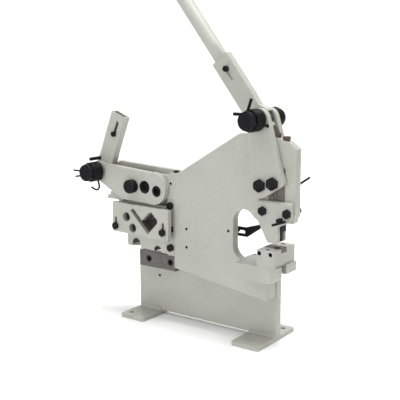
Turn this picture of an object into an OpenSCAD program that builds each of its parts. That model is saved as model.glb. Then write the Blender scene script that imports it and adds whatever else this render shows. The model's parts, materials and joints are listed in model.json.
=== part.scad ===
// Hand-lever ironworker: punch station on the right, bar and angle shear on the left.
// Millimetres. +X runs from the shear end to the punch end, +Y away from the front, +Z up.
// Origin: floor level, midway between the two floor-bolt holes.

/* [Base] */
// Width of each foot bar
foot_w = 75; // [60:1:90]
// Length of each foot bar, front to back
foot_l = 168; // [150:1:220]
// Thickness of the foot bars
foot_t = 10; // [8:0.5:14]
// Overall length of the stand over both feet
base_l = 418; // [410:1:440]
// Diameter of the floor-bolt holes
floor_hole_d = 12; // [8:0.5:16]
// Front-to-back distance between the two floor-bolt holes
floor_hole_y = 124; // [100:1:136]
// Side-to-side distance between the two floor-bolt holes
floor_hole_x = 380; // [366:1:384]

/* [Frame] */
// Thickness of the stand plate
stand_t = 20; // [16:0.5:22]
// Height of the top edge of the stand plate
stand_top = 165; // [150:1:166]
// Position of the back wall of the throat, from the middle of the base
throat_x = 114.5; // [100:0.5:118]

/* [Handle] */
// Length of the handle tube outside its socket
handle_l = 760; // [400:10:1100]
// Outside diameter of the handle tube
handle_od = 33.7; // [30:0.1:38]
// Wall thickness of the handle tube
handle_wall = 3.2; // [2:0.1:5]
// Lean of the punch lever at rest, degrees from vertical
punch_lean = 38; // [30:1:45]
// Lean of the shear lever at rest, degrees from vertical
shear_lean = 22; // [15:1:26]

/* [Punch tooling] */
// Punch tip diameter
punch_d = 12; // [6:0.5:13.5]
// Diametral clearance between punch and die
die_clear = 0.6; // [0.4:0.1:1.5]
// Width of the die bar
die_w = 24.8; // [24:0.1:24.8]

/* [Shear tooling] */
// Diameter of the round-bar holes
bar_hole_d = 23.5; // [12:0.5:23.5]
// Height of the lower blade
blade_h = 39; // [36:0.5:39]

/* [Hidden] */
$fn = 64;
e = 0.02;
// layers along Y (front is negative)
st0 = -4; st1 = st0 + stand_t;        // stand plate
rp0 = -25; rp1 = -4;                  // rear plate
fp0 = -46; fp1 = -25;                 // frame plate
fa0 = -61.6; fa1 = -46.6;             // front arm plates
ra0 = -24.4; ra1 = -9.4;              // rear arm plates
md = (fp0 + fp1) / 2;                 // working plane
in0 = fp0 + 0.3; in1 = fp1 - 0.3;     // pieces sliding inside the frame thickness
hx = base_l / 2;
fx = hx - foot_w / 2;                 // foot centre
// pivots
ppx = 196.4; ppz = 380;               // punch arm pivot
rpx = 229; rpz = 387;                 // ram pin
phx = 188; phz = 525;                 // punch lever shaft
lever_off = -8;                       // punch lever blade beside its shaft line
spx = -102; spz = 336.5;               // shear arm pivot
ssx = -178; ssz = 343;                // shear stud
shx = -296; shz = 371;                // shear lever shaft
angle_bolt = [[-231.5, 235.8], [-77.2, 237.4]];
die_x = 228; die_z = 237; die_y = -28.5; // die hole, top of die block, middle of the die bar
cream = [0.78, 0.77, 0.71]; black = [0.12, 0.12, 0.13]; steel = [0.30, 0.29, 0.29];
bright = [0.62, 0.62, 0.62]; brown = [0.27, 0.20, 0.15];

// extrude a front-view outline between two Y planes
module yx(y0, y1) { translate([0, y1, 0]) rotate([90, 0, 0]) linear_extrude(y1 - y0) children(); }
// cylinder along Y
module yc(x, z, y0, y1, d) { translate([x, y1, z]) rotate([90, 0, 0]) cylinder(d = d, h = y1 - y0); }
// hexagon along Y
module yh(x, z, y0, y1, af) { translate([x, y1, z]) rotate([90, 0, 0]) rotate(30) cylinder(d = af / cos(30), h = y1 - y0, $fn = 6); }
// box from corner to corner
module bx(a, b) { translate(a) cube([b[0] - a[0], b[1] - a[1], b[2] - a[2]]); }
// plain straight-sided bridge between two circles, with the circles
module bar2(a, ra, b, rb) {
  d = [b[0] - a[0], b[1] - a[1]]; L = norm(d); t = atan2(d[1], d[0]); k = acos((ra - rb) / L);
  translate(a) circle(ra); translate(b) circle(rb);
  polygon([for (s = [k, -k]) [a[0] + (ra - e) * cos(t + s), a[1] + (ra - e) * sin(t + s)],
           for (s = [-k, k]) [b[0] + (rb - e) * cos(t + s), b[1] + (rb - e) * sin(t + s)]]);
}
// round-ended slot outline
module slot2(c, len, d, a = 0) { translate(c) rotate(a) { square([len, d], center = true); for (s = [-1, 1]) translate([s * len / 2, 0]) circle(d = d); } }

// ---------------------------------------------------------------- base
module foot(cx) {
  linear_extrude(foot_t) difference() {
    translate([cx, 0]) polygon([for (q = [[-1,-1],[1,-1],[1,1],[-1,1]]) each
      (q[0] * q[1] > 0 ? [[q[0] * foot_w / 2, q[1] * (foot_l / 2 - 4)], [q[0] * (foot_w / 2 - 4), q[1] * foot_l / 2]]
                       : [[q[0] * (foot_w / 2 - 4), q[1] * foot_l / 2], [q[0] * foot_w / 2, q[1] * (foot_l / 2 - 4)]])]);
    translate([sign(cx) * floor_hole_x / 2, sign(cx) * floor_hole_y / 2]) circle(d = floor_hole_d);
  }
}
module foot_left() { color(cream) foot(-fx); }
module foot_right() { color(cream) foot(fx); }

module stand_plate() { color(cream) difference() {
  yx(st0, st1) polygon([[-hx, foot_t], [hx, foot_t], [hx, stand_top], [-hx, stand_top]]);
  yc(-142, 103, st0 - 1, st1 + 1, 6.8);
  for (x = [-160, -90]) yc(x, 150, st0 - 1, st0 + 16, 10.2);
} }

module stand_welds() { color(cream) for (c = [-fx, fx], s = [0, 1])
  translate([c, 0, foot_t]) translate([foot_w / 2 - 1, s == 0 ? st0 : st1, 0]) rotate([0, -90, 0]) linear_extrude(foot_w - 2)
    polygon([[0, 0], [6, 0], [4.6, (s == 0 ? -1 : 1) * 2.4], [2.4, (s == 0 ? -1 : 1) * 4.6], [0, (s == 0 ? -1 : 1) * 6]]); }

module rear_plate() { color(cream) difference() {
  yx(rp0, rp1) difference() {
    polygon([[-72, 147.7], [207, 110], [207, 164], [95, 164], [95, 300], [40, 312], [-150, 312], [-150, 296], [-236, 296],
             [-236, 226], [-213, 226], [-213, 179], [-72, 177.5]]);
    angle_cut(); bar_cuts(); notch_cuts();
  }
  for (z = [302, 243, 196]) yc(-70, z, rp0 - 1, rp1 + 1, 12.4);
  for (p = [[30, 280], [-30, 160], [75, 150]]) yc(p[0], p[1], rp0 - 1, rp1 + 1, 12.4);
  yc(88, 252.5, rp1 - 12, rp1 + 1, 8);
  for (x = [-225], z = [238, 286]) yc(x, z, rp0 - 1, rp1 + 1, 8.4);
} }

module frame_plate() { color(cream) difference() {
  yx(fp0, fp1) difference() {
    polygon([[-59.5, 146], [207, 110], [207, 197.7], [278, 197.7], [278, 464], [260, 478], [232, 486], [205, 490],
             [130, 490.5], [-42.5, 387], [-46, 384], [-72, 384], [-76, 376], [-124, 376], [-124, 317], [-59.5, 317]]);
    polygon([[throat_x + 30, 197.6], [320, 197.6], [320, 322], [278, 322], [272, 299], [251.4, 299],
             [251.4, 286], [196, 286], [151, 317], [throat_x + 30, 318], [throat_x + 30, 288], [throat_x, 288], [throat_x, 228], [throat_x + 30, 228]]);
    translate([throat_x + 30, 288]) circle(30);
    translate([throat_x + 30.4, 228]) circle(30.4);
    translate([209, 280]) square([42.4, 140]);
  }
  yc(ppx, ppz, fp0 - 1, fp1 + 1, 20.1);
  yc(spx, spz, fp0 - 1, fp1 + 1, 28.1);
  for (x = [202, 264.5]) yc(x, 323, fp0 - 1, fp1 + 1, 9.4);
  for (p = [[101, 261], [-22, 250], [-22, 204], [-69, 357]]) yc(p[0], p[1], fp0 - 1, fp0 + 14, 7);
  for (x = [150, 185]) yc(x, 184, fp0 - 1, fp1 + 1, 10.4);
  translate([-60, md, 374]) cylinder(d = 8.1, h = 20);
  for (p = [[30, 280], [-30, 160], [75, 150]]) yc(p[0], p[1], fp1 - 15, fp1 + 1, 12.4);
  for (p = [[224.6, 487], [247.7, 481]]) { translate([p[0], md, 454]) cylinder(d = 10, h = 60); translate([p[0], md, p[1]]) cylinder(d = 18.4, h = 30); }
} }

// cap screws that hold the frame plate to the rear plate, seen from behind
module frame_screws() { color(black) for (p = [[30, 280], [-30, 160], [75, 150]]) {
  if (p[1] > 170) { yh(p[0], p[1], rp1, rp1 + 7.5, 19); yc(p[0], p[1], fp1 - 14, rp1 + 0.1, 12); }
  else yc(p[0], p[1], fp1 - 14, rp1 - 0.2, 12);
} }

// ---------------------------------------------------------------- shear, fixed pieces
module angle_cut() {
  translate([-121, 236]) rotate(45) {
    translate([-11, -3]) square([11.2, 77]);
    translate([0, -3]) square([31, 36]); translate([30, 6]) square([10, 18]);
    for (v = [6, 24]) translate([31, v]) circle(9);
  }
}
module notch_cuts() { for (p = [[-183, 192, 26], [-113, 183, 23]]) { translate([p[0], p[1]]) circle(d = p[2]); translate([p[0] - p[2] / 2 + 0.1, p[1] - 30]) square([p[2] - 0.2, 30]); } }
module bar_cuts() { translate([-195.3, 263.3]) circle(d = bar_hole_d); translate([-175.3, 236.5]) circle(d = bar_hole_d); }

module shear_gib() { color(cream) difference() {
  yx(fp0, fp1) polygon([[-79.7, 176], [-60, 176], [-60, 316], [-79.7, 316]]);
  for (z = [302, 243, 196]) yc(-70, z, fp0 - 1, fp1 + 1, 12.4);
} }
module gib_bolts() { color(black) for (z = [302, 243, 196]) {
  yh(-70, z, fp0 - 7.5, fp0, 17); yc(-70, z, fp0 - 0.1, rp1 + 6, 12); yh(-70, z, rp1 + 0.2, rp1 + 8, 19);
} }
module shear_guide() { color(cream) difference() {
  yx(fp0 + 0.9, fp1) polygon([[-236, 228], [-213.7, 228], [-213.7, 296], [-226, 296], [-226, 308], [-240, 318], [-256, 330], [-262, 318],
                        [-270, 318], [-270, 308], [-280, 308], [-280, 299], [-244, 299], [-236, 290]]);
  for (z = [238, 286]) yc(-225, z, fp0 - 1, fp1 + 1, 8.4);
} }
module guide_screws() { color(black) for (z = [238, 286]) { yc(-225, z, fp0 + 1.6, rp1 + 4, 8); yh(-225, z, rp1 + 0.1, rp1 + 6.5, 13); } }

module lower_blade() { color(steel) difference() {
  yx(-24.8, st0) polygon([[-191, 168 - blade_h], [-74, 168 - blade_h], [-74, 161], [-81, 168], [-191, 168]]);
  for (x = [-160, -90]) { yc(x, 150, -26, st0 + 1, 10.4); yc(x, 150, -26, -14, 17); }
} }
module lower_blade_screws() { color(black) for (x = [-160, -90]) difference() {
  union() { yc(x, 150, -24, -14, 16); yc(x, 150, -14.1, 11, 10); }
  yh(x, 150, -25, -19, 8);
} }

module shear_pivot() { color(black) difference() {
  union() { yc(spx, spz, fa0 + 1, 4, 28); yc(spx, spz, ra1 + 0.4, 4, 38); }
  yh(spx, spz, fa0, fa0 + 9, 16);
} }

// ---------------------------------------------------------------- punch, fixed pieces
module guide_outline() {
  polygon([[188, 347], [188, 300], [193, 293], [214, 254], [218, 252], [236, 252], [240, 256], [240, 288], [244, 292],
           [252, 295], [258, 299], [268, 304], [274.5, 313], [274.5, 347]]);
}
module guide_plate_front() { color(cream) difference() {
  yx(-58, fp0) guide_outline();
  for (x = [202, 264.5]) yc(x, 323, -60, fp0 + 1, 9.4);
  translate([-100, -58, 347]) rotate([45, 0, 0]) translate([0, -2.8, -2.8]) cube([500, 5.6, 5.6]);
  yc(250, 308, -60, fp0 - 1, 8.1);
} }
module guide_plate_rear() { color(cream) difference() {
  union() {
    yx(fp1, -13) polygon([[188, 347], [188, 312], [192, 308], [268, 308], [272, 312], [272, 347]]);
    yx(fp1, -19) polygon([[190, 320], [190, 300], [193, 293], [214, 254], [218, 252], [236, 252], [240, 256], [240, 288], [244, 292], [246, 320]]);
  }
  for (x = [202, 264.5]) yc(x, 323, fp1 - 1, -12, 9.02);
  yc(244, 338, -26, -12, 5.02);
} }
module guide_bolts() { color(black) for (x = [202, 264.5]) { yh(x, 323, -64.5, -58, 19); yc(x, 323, -58.1, -4, 9); } }
module guide_nuts() { color(black) for (x = [202, 264.5]) difference() { yh(x, 323, -13, -6, 14); yc(x, 323, -14, -5, 9.04); } }
module punch_pivot() { color(black) { yh(ppx, ppz, fa0 - 8.9, fa0 - 0.4, 26); yc(ppx, ppz, fa0 - 0.5, ra1 + 0.5, 20); yh(ppx, ppz, ra1 + 0.4, ra1 + 9, 24); } }
module stop_bolts() { color(brown) for (p = [[224.6, 487], [247.7, 481]]) translate([p[0], md, p[1]]) {
  cylinder(d = 15 / cos(30), h = 9.5, $fn = 6); translate([0, 0, -26]) cylinder(d = 9.9, h = 26.1); } }
module die_bed_front() { color(cream) difference() {
  intersection() {
    yx(-73, fp0) polygon([[134, 194], [138, 197.7], [246, 197.7], [246, 174], [232, 161], [166, 161]]);
    linear_extrude(300) polygon([[100, 0], [100, -73], [222, -73], [232, -70.5], [240, -65], [244.5, -58], [246, -51], [246, 0]]);
  }
  for (x = [150, 185]) yc(x, 184, -64, fp0 + 1, 10.2);
  translate([219, -62, 180]) cylinder(d = 6.8, h = 30);
} }
module die_bed_rear() { color(cream) difference() {
  yx(fp1, 20) polygon([[130, 197.7], [246, 197.7], [246, 176], [130, 176]]);
  for (x = [150, 185]) yc(x, 184, -30, 30, 10.4);
  translate([219, 6, 180]) cylinder(d = 6.8, h = 30);
  translate([138, 13, 185]) cylinder(d = 8.5, h = 30);
} }
module bed_screws() { color(black) { for (x = [150, 185]) { yc(x, 184, -62, 20.1, 10); yh(x, 184, 20, 27, 17); }
  difference() { translate([138, 13, 190]) cylinder(d = 8.4, h = 7.4); translate([138, 13, 193]) cylinder(d = 4 / cos(30), h = 6, $fn = 6); } } }
module die_block() { color(cream) difference() {
  bx([197, -73, 198], [241, 20, die_z]);
  bx([190, die_y - die_w / 2 - 0.05, 227], [260, die_y + die_w / 2 + 0.05, 250]);
  translate([die_x, md, 180]) cylinder(d = 20, h = 60);
  for (y = [-62, 6]) { translate([219, y, 190]) cylinder(d = 6.8, h = 60); translate([219, y, 230.5]) cylinder(d = 11.5, h = 20); }
  for (x = [203, 232]) yc(x, 229, -74, die_y, 10.1);
} }
module die_screws() { color(black) for (y = [-62, 6]) translate([219, y, 0]) difference() {
  union() { translate([0, 0, 230.5]) cylinder(d = 11, h = 6.2); translate([0, 0, 181]) cylinder(d = 6.6, h = 49.6); }
  translate([0, 0, 233.5]) cylinder(d = 5 / cos(30), h = 6, $fn = 6); } }
module die_set_screws() { color(black) for (x = [203, 232]) difference() { yc(x, 229, -72, die_y - die_w / 2 - 0.1, 10); yh(x, 229, -73, -66, 5); } }
// die bar held in the channel of the die block
module die() { color(steel) difference() {
  bx([197.5, die_y - die_w / 2, 227.1], [240.4, die_y + die_w / 2, die_z + 1]);
  translate([die_x, md, 210]) cylinder(d = punch_d + die_clear, h = 40);
  translate([die_x, md, 210]) cylinder(d = punch_d + die_clear + 3, h = 21);
} }
// plug screw on the frame's upper left corner
module frame_plug() { color(black) { translate([-60, md, 375]) cylinder(d = 8, h = 9.1); translate([-60, md, 384]) cylinder(d = 13, h = 5); } }
// plug in the ram face
module ram_plug() { color(steel) difference() { yc(231.4, 360, in0 + 1.4, in0 + 4.9, 20.6); yh(231.4, 360, in0, in0 + 3.4, 8); } }
module stop_rod() { color(black) {
  yc(244, 338, -24, 14, 5);
  translate([244, 14, 338]) sphere(d = 5.8);
  translate([244, 14, 338]) cylinder(d = 5, h = 33);
  translate([244, 14, 371]) sphere(d = 5.8);
  translate([244, 14, 371]) rotate([0, 54.6, 0]) cylinder(d = 5, h = 44);
} }

// ---------------------------------------------------------------- gauge
module gauge_arm() { color(black) yx(rp1 + 0.3, rp1 + 7) difference() {
  union() { translate([36, 242]) square([90, 22]); polygon([[118, 242], [128, 243.5], [158, 264], [161, 268], [160, 273], [156, 275], [120, 264]]); }
  slot2([91, 252.5], 50, 9);
} }
module gauge_screw() { color(black) { yc(88, 252.5, rp1 - 11, rp1 + 8, 7.6); yc(88, 252.5, rp1 + 7.3, rp1 + 9, 18); yc(88, 252.5, rp1 + 8.5, rp1 + 20, 14); } }

// ---------------------------------------------------------------- punch arm
module punch_arm_outline() {
  bar2([phx, phz], 26, [ppx, ppz], 28); bar2([phx, phz], 26, [248, 390], 8); bar2([ppx, ppz], 28, [248, 390], 8);
  polygon([[phx, phz], [ppx, ppz], [248, 390]]);
}
module punch_arm_plate(y0, y1) { difference() {
  yx(y0, y1) punch_arm_outline();
  yc(ppx, ppz, y0 - 1, y1 + 1, 20.15); yc(phx, phz, y0 - 1, y1 + 1, 18.02); yc(rpx, rpz, y0 - 1, y1 + 1, 16.02);
} }
module punch_arm_front() { color(cream) difference() { punch_arm_plate(fa0, fa1); yc(214, 513, fa0 - 1, fa1 + 1, 8.4); } }
module punch_arm_rear() { color(cream) punch_arm_plate(ra0, ra1); }
module ram_pin() { color(black) { yh(rpx, rpz, fa0 - 8.5, fa0, 26); yc(rpx, rpz, fa0 - 0.1, ra1 + 0.1, 16); yh(rpx, rpz, ra1, ra1 + 8, 24); } }
module punch_shaft() { color(steel) yc(phx, phz, -108, 24, 18); }
module coil(x, z, y0, n, r, w) { translate([x, y0, z]) rotate([-90, 0, 0]) rotate_extrude() { for (i = [0:n - 1]) translate([r, w / 2 + i * w * 0.96]) circle(d = w, $fn = 32); } }
module punch_spring_front() { color(black) { coil(phx, phz, fa0 - 37.4, 6, 22, 6.4);
  translate([206.5, fa0 - 3.6, 515.4]) rotate([0, 111, 0]) cylinder(d = 5, h = 7); translate([213, fa0 - 3.6, 512.9]) sphere(d = 5.6); yc(213, 512.9, fa0 - 3.6, fa1 + 0.2, 5);
  translate([phx - 12, fa0 - 24, phz + 15]) rotate([0, 20, 0]) cylinder(d = 7, h = 35); } }
module punch_spring_rear() { color(black) { coil(phx, phz, ra1 + 0.4, 4, 22, 6.4);
  translate([phx - 12, ra1 + 16, phz - 15]) rotate([0, 200, 0]) cylinder(d = 5.5, h = 26); } }
module spring_cap(x, z, y0, y1, h0, h1) { difference() { yc(x, z, y0, y1, 43); yc(x, z, h0, h1, 18.02); } }
module punch_spring_caps() { color(black) { spring_cap(phx, phz, -110, fa0 - 37.6, -108.05, -90); spring_cap(phx, phz, ra1 + 26, ra1 + 36, 10, 24.05);
  translate([phx - 9, -105, phz + 14.5]) rotate([0, -90, 0]) cylinder(d = 7.5, h = 25); } }

// ---------------------------------------------------------------- levers, drawn upright about the shaft
// ox and hw: middle and half width of the blade beside the shaft line; sx, s0, s1: bolt slot
module lever_body(len, foot, neck, ox, hw, sx, s0, s1, hub) { difference() {
  union() {
    yx(-10.2, 10.2) polygon([[14, 0], [14, 5], [foot, 7], [foot, 11], [neck, 30], [neck, 42], [hw + ox, 62], [hw + ox, len],
      [-hw + ox, len], [-hw + ox, 40], [-foot, 7], [-14, 0]]);
    translate([0, 10.2, 0]) rotate([90, 0, 0]) cylinder(d = hub, h = 20.4);
    children();
  }
  translate([0, 20, 0]) rotate([90, 0, 0]) cylinder(d = 18.15, h = 40);
  bx([ox - 18.2, -7, 62], [ox + 18.2, 7, 200]);
  yx(-20, 20) slot2([sx, (s0 + s1) / 2], s1 - s0, 9, 90);
} }
module at_punch() { translate([phx, md, phz]) rotate([0, -punch_lean, 0]) children(); }
module at_shear() { translate([shx, md, shz]) rotate([0, shear_lean, 0]) children(); }
module socket_bolt(x, z, len) { yh(x, z, -16.5, -10.2, 13); yc(x, z, -10.3, len, 8); yh(x, z, 10.2, 16.8, 13); }
module punch_lever() { color(cream) at_punch() lever_body(174, 25, 14, lever_off, 23.5, -6, 117.5, 143.75, 40) yx(-8, 8) polygon([[2, -14], [14, -11], [13, -25], [5, -26]]); }
module punch_socket_bolt() { color(black) at_punch() socket_bolt(-6, 143.75, 19); }
module punch_handle() { color(cream) at_punch() difference() {
  translate([lever_off, 0, 0]) union() {
    bx([-17.8, -6.7, 64], [17.8, 6.7, 180]);
    hull() { bx([-17.8, -6.7, 176], [17.8, 6.7, 177]); translate([0, 0, 226]) cylinder(d = handle_od, h = 1, $fn = 48); }
    translate([0, 0, 226]) cylinder(d = handle_od, h = handle_l - 50);
  }
  translate([lever_off, 0, 232]) cylinder(d = handle_od - 2 * handle_wall, h = handle_l);
  yc(-6, 143.75, -20, 20, 8.4);
} }
module shear_lever() { color(cream) at_shear() lever_body(159, 24.4, 24, 0, 22.5, 5, 106.25, 137, 49); }
module shear_socket_bolt() { color(black) at_shear() socket_bolt(5, 106.25, 19); }
module shear_lever_pin() { color(black) yc(-302.7, 403.4, -83, md - 10.2, 9); }

// ---------------------------------------------------------------- ram
module punch_ram() { color(steel) difference() {
  bx([209.4, in0, 300], [251, in1, 404]);
  yx(in0 - 1, in1 + 1) slot2([rpx, rpz], 2.4, 16.7);
  bx([200, in0 - 1, 397], [217, in1 + 1, 410]);
  yc(231.4, 360, in0 - 1, in0 + 5, 21);
  translate([die_x, md, 290]) cylinder(d = 15, h = 36);
} }
module punch_holder() { color(black) difference() {
  union() { bx([212, in0 + 0.3, 277], [244, in1 - 0.3, 300]); translate([die_x, md, 254]) cylinder(d = 20.2, h = 23.1); translate([die_x, md, 299]) cylinder(d = 14.9, h = 26); }
  translate([die_x, md, 250]) cylinder(d = 14.02, h = 40);
} }
module punch() { color(bright) { translate([die_x, md, 264]) cylinder(d = 14, h = 25.9); translate([die_x, md, 258]) cylinder(d1 = punch_d, d2 = 14, h = 6.02); translate([die_x, md, 244.5]) cylinder(d = punch_d, h = 13.6); } }
module stripper_screw() { color(black) { yc(250, 308, -70, fp0 - 2, 8); yc(250, 308, -73.5, -65.5, 11);
  translate([250, -69, 302]) rotate([0, 70, 0]) translate([0, 0, -18]) cylinder(d = 5.5, h = 36); } }

// ---------------------------------------------------------------- shear arm
module shear_arm_front() { color(cream) difference() {
  union() {
    yx(fa0, fa1) polygon([[-300, 394], [-108, 380.3], [-108, 303.2], [-217, 306], [-286, 343], [-308, 356], [-312, 371]]);
    yc(-114, 342, fa0, fa1, 80);
    yc(shx, shz, fa0, fa1, 52);
  }
  yc(-140, 343.5, fa0 - 1, fa1 + 1, 32.5);
  yc(spx, spz, fa0 - 1, fa1 + 1, 28.15); yc(ssx, ssz, fa0 - 1, fa1 + 1, 22.02); yc(shx, shz, fa0 - 1, fa1 + 1, 18.02);
} }
module shear_arm_rear() { color(cream) difference() {
  union() {
    yx(ra0, ra1) polygon([[-300, 392], [-258, 392], [-256, 397], [-66, 387], [-66, 358], [-84, 350], [-88, 345], [-116, 345], [-122, 352], [-300, 352]]);
    yc(spx, spz, ra0, ra1, 44); yc(shx, shz, ra0, ra1, 50);
  }
  yc(spx, spz, ra0 - 1, ra1 + 1, 28.15); yc(shx, shz, ra0 - 1, ra1 + 1, 18.02);
} }
module shear_stud() { color(black) { yc(ssx, ssz, fa0 - 18, fa0, 34); yc(ssx, ssz, fa0 - 0.1, fa1 - 0.2, 22); yc(ssx, ssz, fa1 - 0.3, fp1 + 0.4, 20); } }
module shear_shaft() { color(steel) yc(shx, shz, -108, 2, 18); }
// bent wire through points of one front-view plane
module wire(p, y, d) { for (i = [0:len(p) - 2]) translate([p[i][0], y, p[i][1]]) {
  v = p[i + 1] - p[i];
  rotate([0, atan2(v[0], v[1]), 0]) cylinder(d = d, h = norm(v));
  if (i > 0) sphere(d = d * 1.14);
} }
module shear_spring() { color(black) { coil(shx, shz, fa0 - 37.4, 6, 22, 6.4);
  wire([[-291.2, 350.6], [-287.4, 339], [-287, 330.5], [-291, 325], [-298, 322.7], [-304.5, 323.8], [-314.5, 327.8]], -69, 5); } }
module shear_spring_cap() { color(black) { spring_cap(shx, shz, -110, fa0 - 37.6, -108.05, -90);
  difference() { yc(shx, shz, ra1 + 0.1, ra1 + 14, 30); yc(shx, shz, ra1, 2.05, 18.02); }
  translate([shx - 16, -102, shz + 3]) rotate([0, -90, 0]) cylinder(d = 4.5, h = 32);
  translate([shx - 16, -102, shz - 8]) rotate([0, -101, 0]) cylinder(d = 4.5, h = 26); } }

// ---------------------------------------------------------------- shear slide
module shear_slide() { color(cream) difference() {
  yx(in0, in1) difference() {
    polygon([[-213, 184], [-80.3, 178], [-80.3, 299], [-147, 299], [-147, 364], [-153, 370], [-204, 370], [-210, 364], [-210, 299], [-213, 296]]);
    angle_cut(); bar_cuts(); notch_cuts();
  }
  yx(in0 - 1, in1 + 1) slot2([ssx, ssz], 3, 20.8);
} }
module angle_blade() { color(steel) yx(-56.9, in0) difference() {
  polygon([[-238, 224], [-86, 221], [-86, 291], [-238, 294]]);
  angle_cut(); bar_cuts();
  translate(angle_bolt[0]) circle(d = 6);
} }
module angle_block() { color(cream) yx(-69, -57) difference() {
  polygon([[-244, 221.5], [-61.5, 217.5], [-59, 294], [-241, 298]]);
  angle_cut(); bar_cuts();
  for (p = angle_bolt) slot2([p[0], p[1] + 10], 21, 7, 90);
} }
module angle_bolts() { color(black) for (p = angle_bolt) { yh(p[0], p[1], -75.5, -69, 17); yc(p[0], p[1], -69.1, p[0] < -100 ? -50 : -57.2, 5.9); } }

foot_left();
foot_right();
stand_plate();
stand_welds();
rear_plate();
frame_plate();
frame_screws();
shear_gib();
gib_bolts();
shear_guide();
guide_screws();
lower_blade();
lower_blade_screws();
shear_pivot();
guide_plate_front();
guide_plate_rear();
guide_bolts();
guide_nuts();
punch_pivot();
stop_bolts();
die_bed_front();
die_bed_rear();
bed_screws();
die_block();
die_screws();
die_set_screws();
die();
frame_plug();
stop_rod();
gauge_arm();
gauge_screw();
punch_arm_front();
punch_arm_rear();
ram_pin();
punch_shaft();
punch_spring_front();
punch_spring_rear();
punch_spring_caps();
punch_lever();
punch_socket_bolt();
punch_handle();
shear_lever();
shear_socket_bolt();
shear_lever_pin();
punch_ram();
ram_plug();
punch_holder();
punch();
stripper_screw();
shear_arm_front();
shear_arm_rear();
shear_stud();
shear_shaft();
shear_spring();
shear_spring_cap();
shear_slide();
angle_blade();
angle_block();
angle_bolts();
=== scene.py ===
import bpy, json, math
from mathutils import Vector, Matrix


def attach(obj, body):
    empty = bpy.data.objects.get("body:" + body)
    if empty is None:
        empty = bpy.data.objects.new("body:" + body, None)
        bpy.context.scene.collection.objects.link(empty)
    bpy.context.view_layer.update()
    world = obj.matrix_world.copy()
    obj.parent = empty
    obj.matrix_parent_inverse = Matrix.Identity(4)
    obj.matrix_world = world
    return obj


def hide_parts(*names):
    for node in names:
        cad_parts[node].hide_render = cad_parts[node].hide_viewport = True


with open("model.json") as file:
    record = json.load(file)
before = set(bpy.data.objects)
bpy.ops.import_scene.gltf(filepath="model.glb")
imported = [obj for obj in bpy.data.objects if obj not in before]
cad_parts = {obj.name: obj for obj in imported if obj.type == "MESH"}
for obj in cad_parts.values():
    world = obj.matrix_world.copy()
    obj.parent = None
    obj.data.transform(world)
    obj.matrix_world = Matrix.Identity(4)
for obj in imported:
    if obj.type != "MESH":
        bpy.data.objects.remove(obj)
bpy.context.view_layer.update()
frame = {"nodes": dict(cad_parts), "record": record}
nodes = frame["nodes"]
scene = bpy.context.scene
MM = 0.001


# ------------------------------------------------------------------ materials
class Mat:
    """A small helper: one Principled surface with its own node tree."""

    def __init__(self, name):
        self.m = bpy.data.materials.new(name)
        self.m.use_nodes = True
        self.t = self.m.node_tree
        self.p = self.t.nodes["Principled BSDF"]
        self.co = self.t.nodes.new("ShaderNodeTexCoord").outputs["Object"]

    def n(self, kind, **kw):
        node = self.t.nodes.new(kind)
        for k, v in kw.items():
            setattr(node, k, v)
        return node

    def link(self, a, b):
        self.t.links.new(a, b)

    def noise(self, scale, detail=3.0, rough=0.55, stretch=None):
        node = self.n("ShaderNodeTexNoise")
        node.inputs["Scale"].default_value = scale
        node.inputs["Detail"].default_value = detail
        node.inputs["Roughness"].default_value = rough
        src = self.co
        if stretch:
            mp = self.n("ShaderNodeMapping")
            mp.inputs["Scale"].default_value = stretch
            self.link(self.co, mp.inputs["Vector"])
            src = mp.outputs["Vector"]
        self.link(src, node.inputs["Vector"])
        return node.outputs["Fac"]

    def ramp(self, fac, stops):
        node = self.n("ShaderNodeValToRGB")
        els = node.color_ramp.elements
        while len(els) < len(stops):
            els.new(0.5)
        for e, (pos, col) in zip(els, stops):
            e.position = pos
            e.color = (col[0], col[1], col[2], 1.0) if isinstance(col, tuple) else (col, col, col, 1.0)
        self.link(fac, node.inputs["Fac"])
        return node.outputs["Color"]

    def range(self, fac, a, b, lo, hi):
        node = self.n("ShaderNodeMapRange")
        for k, v in zip(("From Min", "From Max", "To Min", "To Max"), (a, b, lo, hi)):
            node.inputs[k].default_value = v
        self.link(fac, node.inputs["Value"])
        return node.outputs["Result"]

    def mix(self, fac, a, b, mode="MIX"):
        node = self.n("ShaderNodeMix", data_type="RGBA", blend_type=mode)
        self.link(fac, node.inputs[0])
        for v, k in ((a, 6), (b, 7)):
            if isinstance(v, tuple):
                node.inputs[k].default_value = (*v, 1.0)
            else:
                self.link(v, node.inputs[k])
        return node.outputs[2]

    def math(self, op, a, b):
        node = self.n("ShaderNodeMath", operation=op)
        for v, k in ((a, 0), (b, 1)):
            if isinstance(v, (int, float)):
                node.inputs[k].default_value = v
            else:
                self.link(v, node.inputs[k])
        return node.outputs[0]

    def edges(self, radius, samples=6):
        """(rounded normal, 0..1 mask of the outer and inner edges)"""
        bev = self.n("ShaderNodeBevel", samples=samples)
        bev.inputs["Radius"].default_value = radius
        geo = self.n("ShaderNodeNewGeometry")
        dot = self.n("ShaderNodeVectorMath", operation="DOT_PRODUCT")
        self.link(bev.outputs["Normal"], dot.inputs[0])
        self.link(geo.outputs["Normal"], dot.inputs[1])
        return bev.outputs["Normal"], self.range(dot.outputs["Value"], 0.995, 0.80, 0.0, 1.0)

    def bump(self, height, strength, distance, normal=None):
        node = self.n("ShaderNodeBump")
        node.inputs["Strength"].default_value = strength
        node.inputs["Distance"].default_value = distance
        self.link(height, node.inputs["Height"])
        if normal is not None:
            self.link(normal, node.inputs["Normal"])
        return node.outputs["Normal"]


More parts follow.
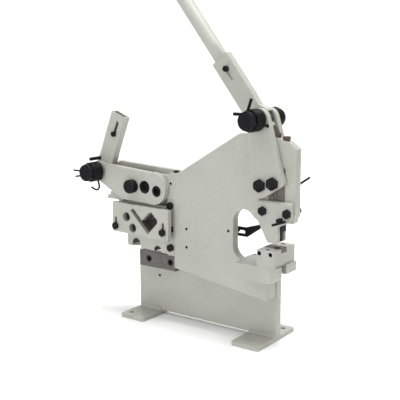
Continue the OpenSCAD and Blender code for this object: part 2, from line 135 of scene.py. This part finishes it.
def shade_places(k, walls, holes, neck):
    """two masks of painted shade, 1 where a dark bare-steel tone paints the shade in recesses: walls round an opening
    (x, z, reach); insides of blind holes and a neck between plates
    """
    nrm, pos = k.n("ShaderNodeSeparateXYZ"), k.n("ShaderNodeSeparateXYZ")
    k.link(k.n("ShaderNodeNewGeometry").outputs["Normal"], nrm.inputs[0])
    k.link(k.co, pos.inputs[0])
    side = k.math("LESS_THAN", k.math("ABSOLUTE", nrm.outputs["Y"], 0.0), 0.5)
    inner = k.math("GREATER_THAN", pos.outputs["Z"], neck)
    outer = k.math("MULTIPLY", side, 0.0)

    def near(x, z, reach):
        dx, dz = k.math("SUBTRACT", pos.outputs["X"], x), k.math("SUBTRACT", pos.outputs["Z"], z)
        return k.math("LESS_THAN", k.math("ADD", k.math("MULTIPLY", dx, dx), k.math("MULTIPLY", dz, dz)), reach ** 2)
    for x, z, reach in walls:
        outer = k.math("MAXIMUM", outer, k.math("MULTIPLY", side, near(x, z, reach)))
    for x, z, reach, y in holes:
        inner = k.math("MAXIMUM", inner, k.math("MULTIPLY", near(x, z, reach), k.math("GREATER_THAN", pos.outputs["Y"], y)))
    return outer, inner


def cream_paint(name="cream_paint", walls=(), holes=(), neck=9.0):
    k = Mat(name)
    normal, edge = k.edges(0.0011)
    tone = k.ramp(k.noise(7.0, 4.0, 0.6), [(0.30, (0.362, 0.367, 0.327)), (0.55, (0.395, 0.399, 0.357)), (0.75, (0.422, 0.426, 0.382))])
    mottle = k.ramp(k.noise(90.0, 2.0), [(0.35, (0.94, 0.94, 0.935)), (0.65, (1.0, 1.0, 1.0))])
    one = k.noise(7.0, 1.0)
    tone = k.mix(k.range(one, 0.0, 1.0, 0.75, 1.0), tone, mottle, "MULTIPLY")
    # edges are painted lighter, a painted highlight broken up by noise, and grime sits where scuffs are
    tone = k.mix(k.math("MULTIPLY", edge, k.range(k.noise(60.0, 4.0), 0.35, 0.7, 0.0, 0.75)), tone, (0.62, 0.615, 0.565))
    scuff = k.range(k.noise(22.0, 9.0, 0.72), 0.66, 0.80, 0.0, 0.32)
    tone = k.mix(scuff, tone, (0.31, 0.306, 0.272))
    # painted shade: the side walls of openings, the insides of blind holes and the neck take dark steel tones that
    # stand in for the shade in these recesses
    if walls or holes:
        hole_shade = k.ramp(k.noise(130.0, 5.0, 0.65), [(0.3, (0.010, 0.009, 0.010)), (0.6, (0.024, 0.022, 0.023)), (0.8, (0.055, 0.052, 0.052))])
        wear_glint_and_wall_shade = k.ramp(k.noise(110.0, 5.0, 0.65), [(0.3, (0.026, 0.024, 0.023)), (0.6, (0.056, 0.052, 0.049)), (0.8, (0.115, 0.109, 0.102))])
        outer, inner = shade_places(k, walls, holes, neck)
        tone = k.mix(inner, k.mix(outer, tone, wear_glint_and_wall_shade), hole_shade)
        # less specular inside the holes and on the neck keeps the painted shade dark
        k.link(k.math("SUBTRACT", 0.42, k.math("MULTIPLY", inner, 0.36)), k.p.inputs["Specular IOR Level"])
    k.link(tone, k.p.inputs["Base Color"])
    rough = k.math("ADD", k.range(k.noise(35.0, 4.0), 0.3, 0.7, 0.34, 0.46), k.math("MULTIPLY", scuff, 0.4))
    k.link(rough, k.p.inputs["Roughness"])
    peel = k.math("ADD", k.noise(420.0, 2.0), k.math("MULTIPLY", k.noise(1500.0, 1.0), 0.35))
    k.link(k.bump(peel, 0.05, 0.0003, normal), k.p.inputs["Normal"])
    k.p.inputs["Specular IOR Level"].default_value = 0.42
    return k.m


def black_oxide():
    k = Mat("black_oxide")
    normal, edge = k.edges(0.0006)
    tone = k.ramp(k.noise(160.0, 5.0, 0.65), [(0.3, (0.006, 0.006, 0.007)), (0.6, (0.010, 0.0097, 0.0112)), (0.8, (0.020, 0.0192, 0.021))])
    # lighter edges: bare-steel wear, and also a painted glint along the edges
    wear_glint_and_wall_shade = k.math("MULTIPLY", edge, k.range(k.noise(240.0, 4.0), 0.42, 0.72, 0.0, 0.6))
    tone = k.mix(wear_glint_and_wall_shade, tone, (0.22, 0.215, 0.21))
    k.link(tone, k.p.inputs["Base Color"])
    k.link(k.range(k.noise(300.0, 4.0), 0.3, 0.7, 0.34, 0.50), k.p.inputs["Roughness"])
    k.link(k.bump(k.noise(900.0, 3.0), 0.12, 0.0003, normal), k.p.inputs["Normal"])
    k.p.inputs["Metallic"].default_value = 0.2
    k.p.inputs["Specular IOR Level"].default_value = 0.12
    return k.m


def ground_steel(name, dark, mid, light, stretch, r0, r1, metal):
    k = Mat(name)
    normal, edge = k.edges(0.0006)
    lines = k.noise(1.0, 6.0, 0.7, stretch)
    tone = k.ramp(lines, [(0.30, dark), (0.52, mid), (0.74, light)])
    stain = k.range(k.noise(45.0, 5.0, 0.65), 0.52, 0.78, 0.0, 0.55)
    tone = k.mix(stain, tone, (dark[0] * 0.72, dark[1] * 0.66, dark[2] * 0.60))
    # edges lighter all round: a painted highlight
    tone = k.mix(k.math("MULTIPLY", edge, 0.5), tone, (min(light[0] * 1.5, 0.8), min(light[1] * 1.5, 0.8), min(light[2] * 1.5, 0.8)))
    k.link(tone, k.p.inputs["Base Color"])
    k.link(k.range(lines, 0.3, 0.7, r0, r1), k.p.inputs["Roughness"])
    k.link(k.bump(lines, 0.10, 0.0002, normal), k.p.inputs["Normal"])
    k.p.inputs["Metallic"].default_value = metal
    return k.m


M = {
    "cream_paint": cream_paint(),
    "black_oxide": black_oxide(),
    "dark_steel": ground_steel("dark_steel", (0.085, 0.080, 0.074), (0.125, 0.118, 0.110), (0.175, 0.166, 0.155), (30.0, 900.0, 900.0), 0.42, 0.58, 0.55),
    "tool_steel": ground_steel("tool_steel", (0.34, 0.335, 0.325), (0.46, 0.455, 0.445), (0.58, 0.575, 0.56), (700.0, 700.0, 60.0), 0.24, 0.38, 0.9),
    "brown_steel": ground_steel("brown_steel", (0.055, 0.036, 0.030), (0.095, 0.064, 0.055), (0.150, 0.105, 0.092), (500.0, 500.0, 500.0), 0.36, 0.5, 0.5),
}
slot_of = {s["node"]: s["material_slot"] for s in frame["record"]["subparts"]}
# centres and reaches of the opening walls that get painted shade
angle_wall = (-0.1175, 0.2607, 0.038)
notch_walls = [(-0.183, 0.192, 0.0135), (-0.113, 0.183, 0.012)]
# per-part paints whose dark patches paint the shade in the angle opening, notches, arm hole, blind holes, stand hole
# and lever hub; the slide's neck above z 0.3005 is dark bare steel, which also paints the shade seen through the arm
# hole
part_shade = {
    "shear_slide": cream_paint("cream_paint_slide", [angle_wall] + notch_walls, neck=0.3005),
    "rear_plate": cream_paint("cream_paint_rear", [angle_wall] + notch_walls),
    "shear_arm_front": cream_paint("cream_paint_arm", [(-0.140, 0.3435, 0.0168)]),
    "frame_plate": cream_paint("cream_paint_frame", holes=[(x, z, 0.0039, -0.0454) for x, z in ((0.101, 0.261), (-0.022, 0.250), (-0.022, 0.204), (-0.069, 0.357))]),
    "stand_plate": cream_paint("cream_paint_stand", [(-0.142, 0.103, 0.009)]),
    "punch_lever": cream_paint("cream_paint_lever", [(0.188, 0.525, 0.0215)]),
}
for name, obj in nodes.items():
    mat = part_shade.get(name, M[slot_of[name]])
    if not obj.material_slots:
        obj.data.materials.append(mat)
    for s in obj.material_slots:
        s.material = mat


# ------------------------------------------------------------------ mesh helpers, in millimetres
class Build:
    def __init__(self):
        self.v, self.f = [], []

    def add(self, verts, faces):
        o = len(self.v)
        self.v += [tuple(c * MM for c in p) for p in verts]
        self.f += [tuple(i + o for i in f) for f in faces]

    def grid(self, rings, cap0=True, cap1=True):
        """rings: equal-length closed loops of points, joined in order."""
        n = len(rings[0])
        verts = [p for r in rings for p in r]
        faces = []
        for a in range(len(rings) - 1):
            for i in range(n):
                j = (i + 1) % n
                faces.append((a * n + i, a * n + j, (a + 1) * n + j, (a + 1) * n + i))
        if cap0:
            faces.append(tuple(range(n - 1, -1, -1)))
        if cap1:
            faces.append(tuple((len(rings) - 1) * n + i for i in range(n)))
        self.add(verts, faces)

    def sweep(self, path, rad, seg=18, cap=True):
        """round wire along a path; rad is a number or a function of 0..1"""
        P = [Vector(p) for p in path]
        t = [(P[min(i + 1, len(P) - 1)] - P[max(i - 1, 0)]).normalized() for i in range(len(P))]
        up = Vector((0, 0, 1)) if abs(t[0].z) < 0.9 else Vector((1, 0, 0))
        u = t[0].cross(up).normalized()
        rings = []
        for i, p in enumerate(P):
            u = (u - t[i] * u.dot(t[i])).normalized()
            w = t[i].cross(u)
            r = rad(i / (len(P) - 1)) if callable(rad) else rad
            rings.append([p + (u * math.cos(a) + w * math.sin(a)) * r for a in (2 * math.pi * k / seg for k in range(seg))])
        self.grid(rings, cap, cap)

    def rod(self, a, b, r, tip=0.6, seg=20):
        """straight rod with chamfered ends"""
        a, b = Vector(a), Vector(b)
        d = (b - a).normalized()
        self.sweep([a, a + d * tip, a + d * (tip + 0.01), b - d * (tip + 0.01), b - d * tip, b],
                   lambda x: r if 0.05 < x < 0.95 else r - tip, seg)

    def lathe(self, prof, at, axis, seg=72):
        """profile of (radius, distance along the axis), turned about the axis through at"""
        at, axis = Vector(at), Vector(axis).normalized()
        u = axis.orthogonal().normalized()
        w = axis.cross(u)
        rings = [[at + axis * h + (u * math.cos(a) + w * math.sin(a)) * max(r, 0.001) for a in (2 * math.pi * k / seg for k in range(seg))] for r, h in prof]
        self.grid(rings)

    def hexhead(self, at, axis, up, af, h, hole=0.0):
        """hexagon with a turned 30-degree chamfer and a washer face, standing on at along axis"""
        at, axis, up = Vector(at), Vector(axis).normalized(), Vector(up).normalized()
        side = axis.cross(up).normalized()
        n, rc, wf = 72, 0.465 * af, 0.4

        def ring(rad, ht):
            return [at + axis * ht(k) + (up * math.cos(2 * math.pi * k / n) + side * math.sin(2 * math.pi * k / n)) * rad(k) for k in range(n)]

        def hx(k):
            a = (360.0 * k / n + 30.0) % 60.0 - 30.0   # a corner stands on the up direction
            return af / 2 / math.cos(math.radians(30.0 - abs(a)))

        def hz(k):
            return h - max(0.0, hx(k) - rc) * math.tan(math.radians(28))

        rings = [ring(lambda k: af * 0.475, lambda k: 0.0), ring(lambda k: af * 0.475, lambda k: wf), ring(hx, lambda k: wf), ring(hx, hz),
                 ring(lambda k: rc, lambda k: h), ring(lambda k: rc * 0.90, lambda k: h)]
        # a shallow forged dish in the top of the head
        rings += [ring(lambda k: rc * 0.86, lambda k: h - 0.25), ring(lambda k: 0.01, lambda k: h - 0.25)]
        self.grid(rings)

    def socket(self, at, axis, r, h, rs, depth=4.0, seg=48):
        """round screw with a chamfered rim and a hexagon socket, standing on at along axis"""
        at, axis = Vector(at), Vector(axis).normalized()
        u = axis.orthogonal().normalized()
        w = axis.cross(u)

        def ring(rad, ht):
            return [at + axis * ht + (u * math.cos(a) + w * math.sin(a)) * rad(math.degrees(a)) for a in (2 * math.pi * k / seg for k in range(seg))]

        def six(a):
            return rs / math.cos(math.radians((a % 60.0) - 30.0)) * 0.985

        c = min(0.5, r * 0.12)
        self.grid([ring(lambda a: r, 0.0), ring(lambda a: r, h - c), ring(lambda a: r - c, h), ring(lambda a: six(a) + 0.35, h), ring(six, h - 0.35),
                   ring(six, h - depth), ring(lambda a: rs * 0.3, h - depth - 0.8)])

    def thread(self, at, axis, r, length, pitch=1.75, seg=28):
        """plain shank whose free end shows turned thread ridges"""
        at, axis = Vector(at), Vector(axis).normalized()
        prof, h = [(r, 0.0)], 0.0
        n = max(1, int(length / pitch))
        for i in range(n):
            prof += [(r, i * pitch + 0.2), (r - 0.45, i * pitch + pitch * 0.5), (r, i * pitch + pitch - 0.2)]
        prof += [(r, max(length - 0.8, n * pitch)), (r - 0.8, max(length, n * pitch + 0.4))]
        self.lathe(prof, at, axis, seg)

    def done(self, name, slot, body, *replaced, angle=32.0):
        me = bpy.data.meshes.new(name)
        me.from_pydata(self.v, [], self.f)
        me.validate()
        me.update()
        for p in me.polygons:
            p.use_smooth = True
        me.set_sharp_from_angle(angle=math.radians(angle))
        ob = bpy.data.objects.new(name, me)
        scene.collection.objects.link(ob)
        me.materials.append(M[slot])
        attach(ob, body)
        replaced = [r for r in replaced if r in nodes]
        if replaced:
            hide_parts(*replaced)
        return ob


Yn, Yp, Zp = (0, -1, 0), (0, 1, 0), (0, 0, 1)
MD = -35.5


def hexbolt(b, x, z, y_seat, af, h, shank_r, y_end, nut=None):
    """bolt along Y with its head at the front; nut = (seat y, across flats, height)"""
    b.hexhead((x, y_seat, z), Yn, Zp, af, h)
    b.thread((x, y_seat - 0.1, z), Yp, shank_r, y_end - y_seat)
    if nut:
        b.hexhead((x, nut[0], z), Yp, Zp, nut[1], nut[2])


# ------------------------------------------------------------------ bolts
b = Build()
for x in (202.0, 264.5):
    hexbolt(b, x, 323.0, -58.0, 19.0, 6.5, 4.5, -4.0)
b.done("guide_bolt_set", "black_oxide", "base", "guide_bolts")
b = Build()
for x in (202.0, 264.5):
    b.hexhead((x, -13.0, 323.0), Yp, Zp, 14.0, 7.0)
b.done("guide_nut_set", "black_oxide", "base", "guide_nuts")
b = Build()
for z in (302.0, 243.0, 196.0):
    hexbolt(b, -70.0, z, -46.0, 17.0, 7.5, 6.0, 2.0, (-3.8, 19.0, 7.8))
b.done("gib_bolt_set", "black_oxide", "base", "gib_bolts")
b = Build()
hexbolt(b, 196.4, 380.0, -62.4, 26.0, 8.45, 10.0, -8.9, (-9.0, 24.0, 8.6))
b.done("punch_pivot_bolt", "black_oxide", "base", "punch_pivot")
b = Build()
hexbolt(b, 229.0, 387.0, -62.0, 26.0, 8.45, 8.0, -9.3, (-9.4, 24.0, 8.0))
b.done("ram_pin_bolt", "black_oxide", "punch_arm", "ram_pin")
b = Build()
hexbolt(b, -231.5, 235.8, -69.0, 17.0, 6.5, 2.95, -50.0)
hexbolt(b, -77.2, 237.4, -69.0, 17.0, 6.5, 2.95, -57.2)
b.done("angle_bolt_set", "black_oxide", "shear_slide", "angle_bolts")
b = Build()
for x, z in ((224.6, 487.0), (247.7, 481.0)):
    b.hexhead((x, MD, z), Zp, Yp, 15.0, 9.45)
    b.thread((x, MD, z + 0.1), (0, 0, -1), 4.95, 26.0)
b.done("stop_bolt_set", "brown_steel", "base", "stop_bolts")
b = Build()
for x in (150.0, 185.0):
    b.hexhead((x, 20.0, 184.0), Yp, Zp, 17.0, 7.0)
    b.thread((x, 20.1, 184.0), Yn, 5.0, 82.0)
# socket plug screw, flush in the top of the rear bed
b.socket((138.0, 13.0, 190.0), Zp, 4.2, 7.4, 2.3)
b.done("bed_screw_set", "black_oxide", "base", "bed_screws")
b = Build()
for z in (238.0, 286.0):
    b.hexhead((-225.0, -3.9, z), Yp, Zp, 13.0, 6.4)
    b.thread((-225.0, -3.8, z), Yn, 4.0, 40.0)
b.done("guide_screw_set", "black_oxide", "base", "guide_screws")
b = Build()
b.hexhead((30.0, -4.0, 280.0), Yp, Zp, 19.0, 7.5)
b.thread((30.0, -3.9, 280.0), Yn, 6.0, 35.0)
for x, z in ((-30.0, 160.0), (75.0, 150.0)):
    b.thread((x, -4.2, z), Yn, 6.0, 34.8)
b.done("frame_screw_set", "black_oxide", "base", "frame_screws")


def lever_point(px, pz, lean, x, y, s):
    """lever coordinates (across, through, along) to the row frame; lean is positive to the right"""
    a = math.radians(lean)
    return (px + x * math.cos(a) + s * math.sin(a), MD + y, pz - x * math.sin(a) + s * math.cos(a))


for nm, px, pz, lean, off, s, body, node in (("punch", 188.0, 525.0, -38.0, -6.0, 143.75, "punch_lever", "punch_socket_bolt"),
                                             ("shear", -296.0, 371.0, 22.0, 5.0, 106.25, "shear_lever", "shear_socket_bolt")):
    b = Build()
    x, y, z = lever_point(px, pz, lean, off, 0, s)
    up = Vector(lever_point(px, pz, lean, off, 0, s + 1)) - Vector((x, y, z))
    b.hexhead((x, MD - 10.2, z), Yn, up, 13.0, 6.3)
    b.hexhead((x, MD + 10.2, z), Yp, up, 13.0, 6.6)
    b.thread((x, MD - 10.1, z), Yp, 4.0, 29.1, 1.25)
    b.done(nm + "_socket_bolt_set", "black_oxide", body, node)


b = Build()
b.rod((-302.7, MD - 10.3, 403.4), (-302.7, -82.9, 403.4), 4.45, 0.9)
b.done("shear_lever_pin_turned", "black_oxide", "shear_lever", "shear_lever_pin")
b = Build()
for y in (-62.0, 6.0):
    b.socket((219.0, y, 230.5), Zp, 5.5, 6.2, 2.5, 3.2)
    b.thread((219.0, y, 230.6), (0, 0, -1), 3.3, 49.4)
b.done("die_screw_set", "black_oxide", "base", "die_screws")
b = Build()
for x in (203.0, 232.0):
    b.socket((x, -41.0, 229.0), Yn, 5.0, 31.0, 2.5, 6.0)
b.done("die_set_screw_set", "black_oxide", "base", "die_set_screws")
b = Build()
for x in (-160.0, -90.0):
    b.socket((x, -14.0, 150.0), Yn, 8.0, 10.0, 4.0, 5.0)
    b.thread((x, -14.1, 150.0), Yp, 5.0, 25.0)
b.done("blade_screw_set", "black_oxide", "base", "lower_blade_screws")


# ------------------------------------------------------------------ torsion springs: real coils with their legs
def coil_path(cx, cz, y0, y1, r, turns, start, steps=48):
    """close-wound coil along +Y, starting at angle start (degrees, from +X towards +Z)"""
    n = int(turns * steps)
    return [(cx + r * math.cos(math.radians(start + 360.0 * turns * i / n)), y0 + (y1 - y0) * i / n,
             cz + r * math.sin(math.radians(start + 360.0 * turns * i / n))) for i in range(n + 1)]


def smooth_path(pts, n=10):
    """Catmull-Rom through the points"""
    P = [Vector(p) for p in pts]
    out = []
    for i in range(len(P) - 1):
        p0, p1, p2, p3 = P[max(i - 1, 0)], P[i], P[i + 1], P[min(i + 2, len(P) - 1)]
        for k in range(n):
            t = k / n
            out.append(0.5 * ((2 * p1) + (p2 - p0) * t + (2 * p0 - 5 * p1 + 4 * p2 - p3) * t * t + (3 * p1 - p0 - 3 * p2 + p3) * t ** 3))
    return out + [P[-1]]


b = Build()
b.sweep(coil_path(188, 525, -95.7, -65.2, 22.0, 5.0, 152), 3.15, 18)
b.sweep(smooth_path([(206.9, -65.2, 515.2), (209.5, -65.2, 514.2), (212.4, -64.2, 513.0), (213, -61.5, 512.9), (213, -46.6, 512.9)], 8), 2.4, 16)
b.rod((176.2, -85.6, 540.5), (187.9, -85.6, 572.6), 3.4)
b.done("punch_spring_front_coil", "black_oxide", "punch_arm", "punch_spring_front")
b = Build()
b.sweep(coil_path(188, 525, -5.7, 12.5, 22.0, 3.0, 130), 3.15, 18)
b.rod((175.9, 6.6, 509.8), (167.2, 6.6, 485.9), 2.7)
b.done("punch_spring_rear_coil", "black_oxide", "punch_arm", "punch_spring_rear")
b = Build()
b.sweep(coil_path(-296, 371, -95.7, -65.2, 22.0, 5.0, -45), 3.15, 18)
hook = [(-291.2, -68.9, 350.6), (-289.4, -69, 345)] + [(-298 + 11.5 * math.cos(math.radians(a)), -69, 334 + 11.5 * math.sin(math.radians(a))) for a in range(20, -111, -13)] + [(-308, -69, 325.4), (-314.4, -69, 327.7)]
b.sweep(smooth_path(hook, 4), 2.45, 16)
b.done("shear_spring_coil", "black_oxide", "shear_arm", "shear_spring")

# caps with a chamfered rim and a shallow turned face
b = Build()
face = [(0, 0.6), (14.5, 0.6), (15.2, 0.0), (19.2, 0.0), (20.7, 0.7), (21.5, 2.4), (21.5, 9.6), (20.7, 10.7), (0, 10.7)]
b.lathe(face, (188, -110, 525), Yp)
b.lathe([(0, 0.1), (20.9, 0.1), (21.5, 1.0), (21.5, 7.8), (20.1, 9.8), (14.5, 9.8), (13.9, 9.3), (0, 9.3)], (188, 16.6, 525), Yp)
b.rod((178, -105, 539.5), (154.2, -105, 539.5), 3.7, 0.9)
b.done("punch_cap_set", "black_oxide", "punch_arm", "punch_spring_caps")
b = Build()
b.lathe(face, (-296, -110, 371), Yp)
b.lathe([(0, 0.1), (15, 0.1), (15, 12.4), (13.6, 13.8), (0, 13.8)], (-296, -9.3, 371), Yp)
b.rod((-312, -102, 374), (-343.8, -102, 374), 2.25, 0.6)
b.rod((-312, -102, 363), (-337.4, -102, 358.1), 2.25, 0.6)
b.done("shear_cap_set", "black_oxide", "shear_arm", "shear_spring_cap")
b = Build()
b.lathe([(0, 0.5), (12.3, 0.5), (13.0, 0.0), (15.2, 0.0), (16.4, 0.5), (17.0, 1.6), (17.0, 17.6), (16.6, 18.0), (11.0, 18.0), (11.0, 32.8), (10.0, 32.8), (10.0, 54.2), (9.4, 55.0), (0, 55.0)], (-178, -79.6, 343), Yp)
b.done("shear_stud_turned", "black_oxide", "shear_arm", "shear_stud")

# cross-bar screw: turned head, bar with chamfered ends
b = Build()
b.lathe([(0, 0.0), (4.6, 0.0), (5.5, 0.9), (5.5, 7.4), (5.0, 8.0), (4.0, 8.0), (4.0, 25.5), (0, 25.5)], (250, -73.5, 308), Yp, 48)
c, s = math.cos(math.radians(20)), math.sin(math.radians(20))
b.rod((250 - 18 * c, -69, 302 - 18 * s), (250 + 18 * c, -69, 302 + 18 * s), 2.7, 0.7)
b.done("stripper_screw_turned", "black_oxide", "stripper_screw", "stripper_screw")

# gauge clamp screw: knurled head
b = Build()
prof = [(0, -15), (3.8, -15), (3.8, 3.3), (9.0, 3.3), (9.0, 4.8), (7.0, 4.9)]
n, rings = 72, []
for r, h in prof:
    rings.append([(88 + max(r, 0.01) * math.cos(2 * math.pi * i / n), h, 252.5 + max(r, 0.01) * math.sin(2 * math.pi * i / n)) for i in range(n)])
for r, h, kn in ((6.3, 5.4, 0), (7.0, 6.2, 0.45), (7.0, 14.8, 0.45), (6.0, 15.9, 0), (0.01, 15.9, 0)):
    rings.append([(88 + (r - (kn if i % 3 == 0 else 0)) * math.cos(2 * math.pi * i / n), h, 252.5 + (r - (kn if i % 3 == 0 else 0)) * math.sin(2 * math.pi * i / n)) for i in range(n)])
b.grid(rings)
b.done("gauge_screw_knurled", "black_oxide", "base", "gauge_screw")

# bent stop rod as one smooth wire
b = Build()
b.sweep(smooth_path([(244, -24, 338), (244, 4, 338), (244, 11.5, 338.6), (244, 13.8, 342), (244, 14, 350), (244, 14, 362), (245.5, 14, 369.5), (251, 14, 376), (279.3, 14, 396)], 8), 2.45, 16)
b.done("stop_rod_bent", "black_oxide", "base", "stop_rod")


# ------------------------------------------------------------------ handle: tube pressed flat into its socket
def section(w, t, r, n=64):
    """rounded rectangle w by t with corner radius r, n points, starting on +across"""
    pts = []
    r = min(r, w / 2 - 0.01, t / 2 - 0.01) if r < min(w, t) / 2 else min(w, t) / 2 - 0.001
    for q, (sx, sy) in enumerate(((1, 1), (-1, 1), (-1, -1), (1, -1))):
        for k in range(n // 4):
            a = math.pi / 2 * (q + k / (n // 4 - 1))
            pts.append((sx * (w / 2 - r) + r * math.cos(a), sy * (t / 2 - r) + r * math.sin(a)))
    return pts


b = Build()
OD, W = 33.7, 3.2
secs = [(64.0, 34.4, 12.2, 5.4), (64.9, 35.6, 13.4, 6.2), (170.0, 35.6, 13.4, 6.2)]
for i in range(13):
    t = i / 12
    e = t * t * (3 - 2 * t)
    secs.append((176.0 + 50.0 * t, 35.6 + (OD - 35.6) * e, 13.4 + (OD - 13.4) * e, 6.2 + (OD / 2 - 6.2) * e))
secs += [(300.0, OD, OD, OD / 2), (600.0, OD, OD, OD / 2), (934.6, OD, OD, OD / 2), (935.7, OD - 0.9, OD - 0.9, OD / 2), (936.0, OD - 2.4, OD - 2.4, OD / 2)]
rings = [[lever_point(188.0, 525.0, -38.0, x - 8.0, y, s) for x, y in section(w, t, r)] for s, w, t, r in secs]
di = OD - 2 * W
for s, d in ((936.0, di + 1.2), (935.3, di), (600.0, di), (233.0, di), (232.0, di - 0.5)):
    rings.append([lever_point(188.0, 525.0, -38.0, x - 8.0, y, s) for x, y in section(d, d, d / 2)])
b.grid(rings)
b.done("handle_tube", "cream_paint", "punch_lever", "punch_handle", angle=40.0)

# ------------------------------------------------------------------ fillet welds with ripples
b = Build()
for cx in (-171.5, 171.5):
    for y0, sg in ((-4.0, -1), (16.0, 1)):
        rings, n = [], 150
        for i in range(n + 1):
            x = cx - 36.4 + 72.8 * i / n
            end = min(1.0, (i / n) * 14 + 0.35, (1 - i / n) * 14 + 0.35)
            ph = (i / n * 26.0) % 1.0
            leg = 5.9 * end * (0.90 + 0.07 * ph + 0.03 * math.sin(i * 0.21 + cx))
            ring = [(x, y0 - sg * 0.02, 10.0 - 0.0), (x, y0 + sg * leg, 10.0)]
            for k in range(1, 8):
                a = math.pi / 2 * k / 8
                r = leg * (0.86 + 0.14 * abs(math.cos(2 * a)))
                ring.append((x, y0 + sg * r * math.cos(a), 10.0 + r * math.sin(a)))
            ring.append((x, y0, 10.0 + leg))
            rings.append(ring if sg > 0 else ring[::-1])
        b.grid(rings)
b.done("foot_welds", "cream_paint", "base", "stand_welds", angle=50.0)


# ------------------------------------------------------------------ floor sweep, light and camera
def pale(name, a, c):
    k = Mat(name)
    k.link(k.ramp(k.noise(1.5, 3.0), [(0.3, a), (0.7, c)]), k.p.inputs["Base Color"])
    k.link(k.range(k.noise(20.0, 3.0), 0.3, 0.7, 0.72, 0.86), k.p.inputs["Roughness"])
    k.p.inputs["Specular IOR Level"].default_value = 0.15
    return k.m


verts, faces = [], []
prof = [(-6.0, 0.0), (3.5, 0.0)] + [(3.5 + 2.0 * math.sin(math.radians(a)), 2.0 - 2.0 * math.cos(math.radians(a))) for a in range(6, 91, 6)] + [(5.5, 7.0)]
ax = Vector((math.sin(math.radians(36.4)) * -1, math.cos(math.radians(36.4)), 0))
rt = Vector((ax.y, -ax.x, 0))
for d, z in prof:
    for w in (-9.0, 9.0):
        p = ax * d + rt * w
        verts.append((p.x, p.y, z))
for i in range(len(prof) - 1):
    faces.append((2 * i, 2 * i + 1, 2 * i + 3, 2 * i + 2))
me = bpy.data.meshes.new("floor_sweep")
me.from_pydata(verts, [], faces)
me.update()
for p in me.polygons:
    p.use_smooth = True
floor = bpy.data.objects.new("floor_sweep", me)
scene.collection.objects.link(floor)
me.materials.append(pale("pale_floor", (0.87, 0.87, 0.868), (0.89, 0.89, 0.888)))

world = bpy.data.worlds.new("studio")
scene.world = world
world.use_nodes = True
world.node_tree.nodes["Background"].inputs["Color"].default_value = (1.0, 1.0, 1.0, 1.0)
world.node_tree.nodes["Background"].inputs["Strength"].default_value = 0.40


def area(name, loc, aim, size, power, size_y=None):
    d = bpy.data.lights.new(name, "AREA")
    d.energy, d.size = power, size
    if size_y:
        d.shape, d.size_y = "RECTANGLE", size_y
    o = bpy.data.objects.new(name, d)
    scene.collection.objects.link(o)
    o.location = loc
    o.rotation_euler = (Vector(aim) - Vector(loc)).to_track_quat("-Z", "Y").to_euler()
    return o


area("soft_key", (-0.5, -1.7, 2.6), (0.0, 0.0, 0.3), 1.1, 15.0)
area("front_fill", (0.0, -3.0, 0.45), (0.0, 0.0, 0.25), 1.8, 40.0)
area("soft_top", (0.5, 0.1, 2.8), (0.05, 0.0, 0.3), 1.0, 62.0)
area("soft_right", (2.7, 0.2, 1.4), (0.1, 0.0, 0.35), 1.2, 14.0)
area("floor_wash", (0.0, 0.3, 4.2), (0.0, 0.3, 0.0), 4.0, 60.0)
area("backdrop_wash", tuple(ax * 1.6 + Vector((0, 0, 3.2))), tuple(ax * 5.4 + Vector((0, 0, 1.2))), 5.0, 125.0, 1.2)

cam_data = bpy.data.cameras.new("camera")
cam_data.sensor_width = 36.0
cam_data.lens = 69.397
cam_data.clip_start, cam_data.clip_end = 0.02, 60.0
cam = bpy.data.objects.new("camera", cam_data)
scene.collection.objects.link(cam)
az, pitch, roll = math.radians(36.399), math.radians(10.769), math.radians(0.2795)
f = Vector((-math.sin(az) * math.cos(pitch), math.cos(az) * math.cos(pitch), -math.sin(pitch)))
r = Vector((math.cos(az), math.sin(az), 0.0))
d = f.cross(r)
r2 = r * math.cos(roll) + d * math.sin(roll)
d2 = r * -math.sin(roll) + d * math.cos(roll)
m = Matrix((r2, -d2, -f)).transposed().to_4x4()
m.translation = Vector((1.0888, -1.4963, 0.6688))
cam.matrix_world = m
scene.camera = cam
scene.view_settings.view_transform = "Standard"
scene.view_settings.look = "None"
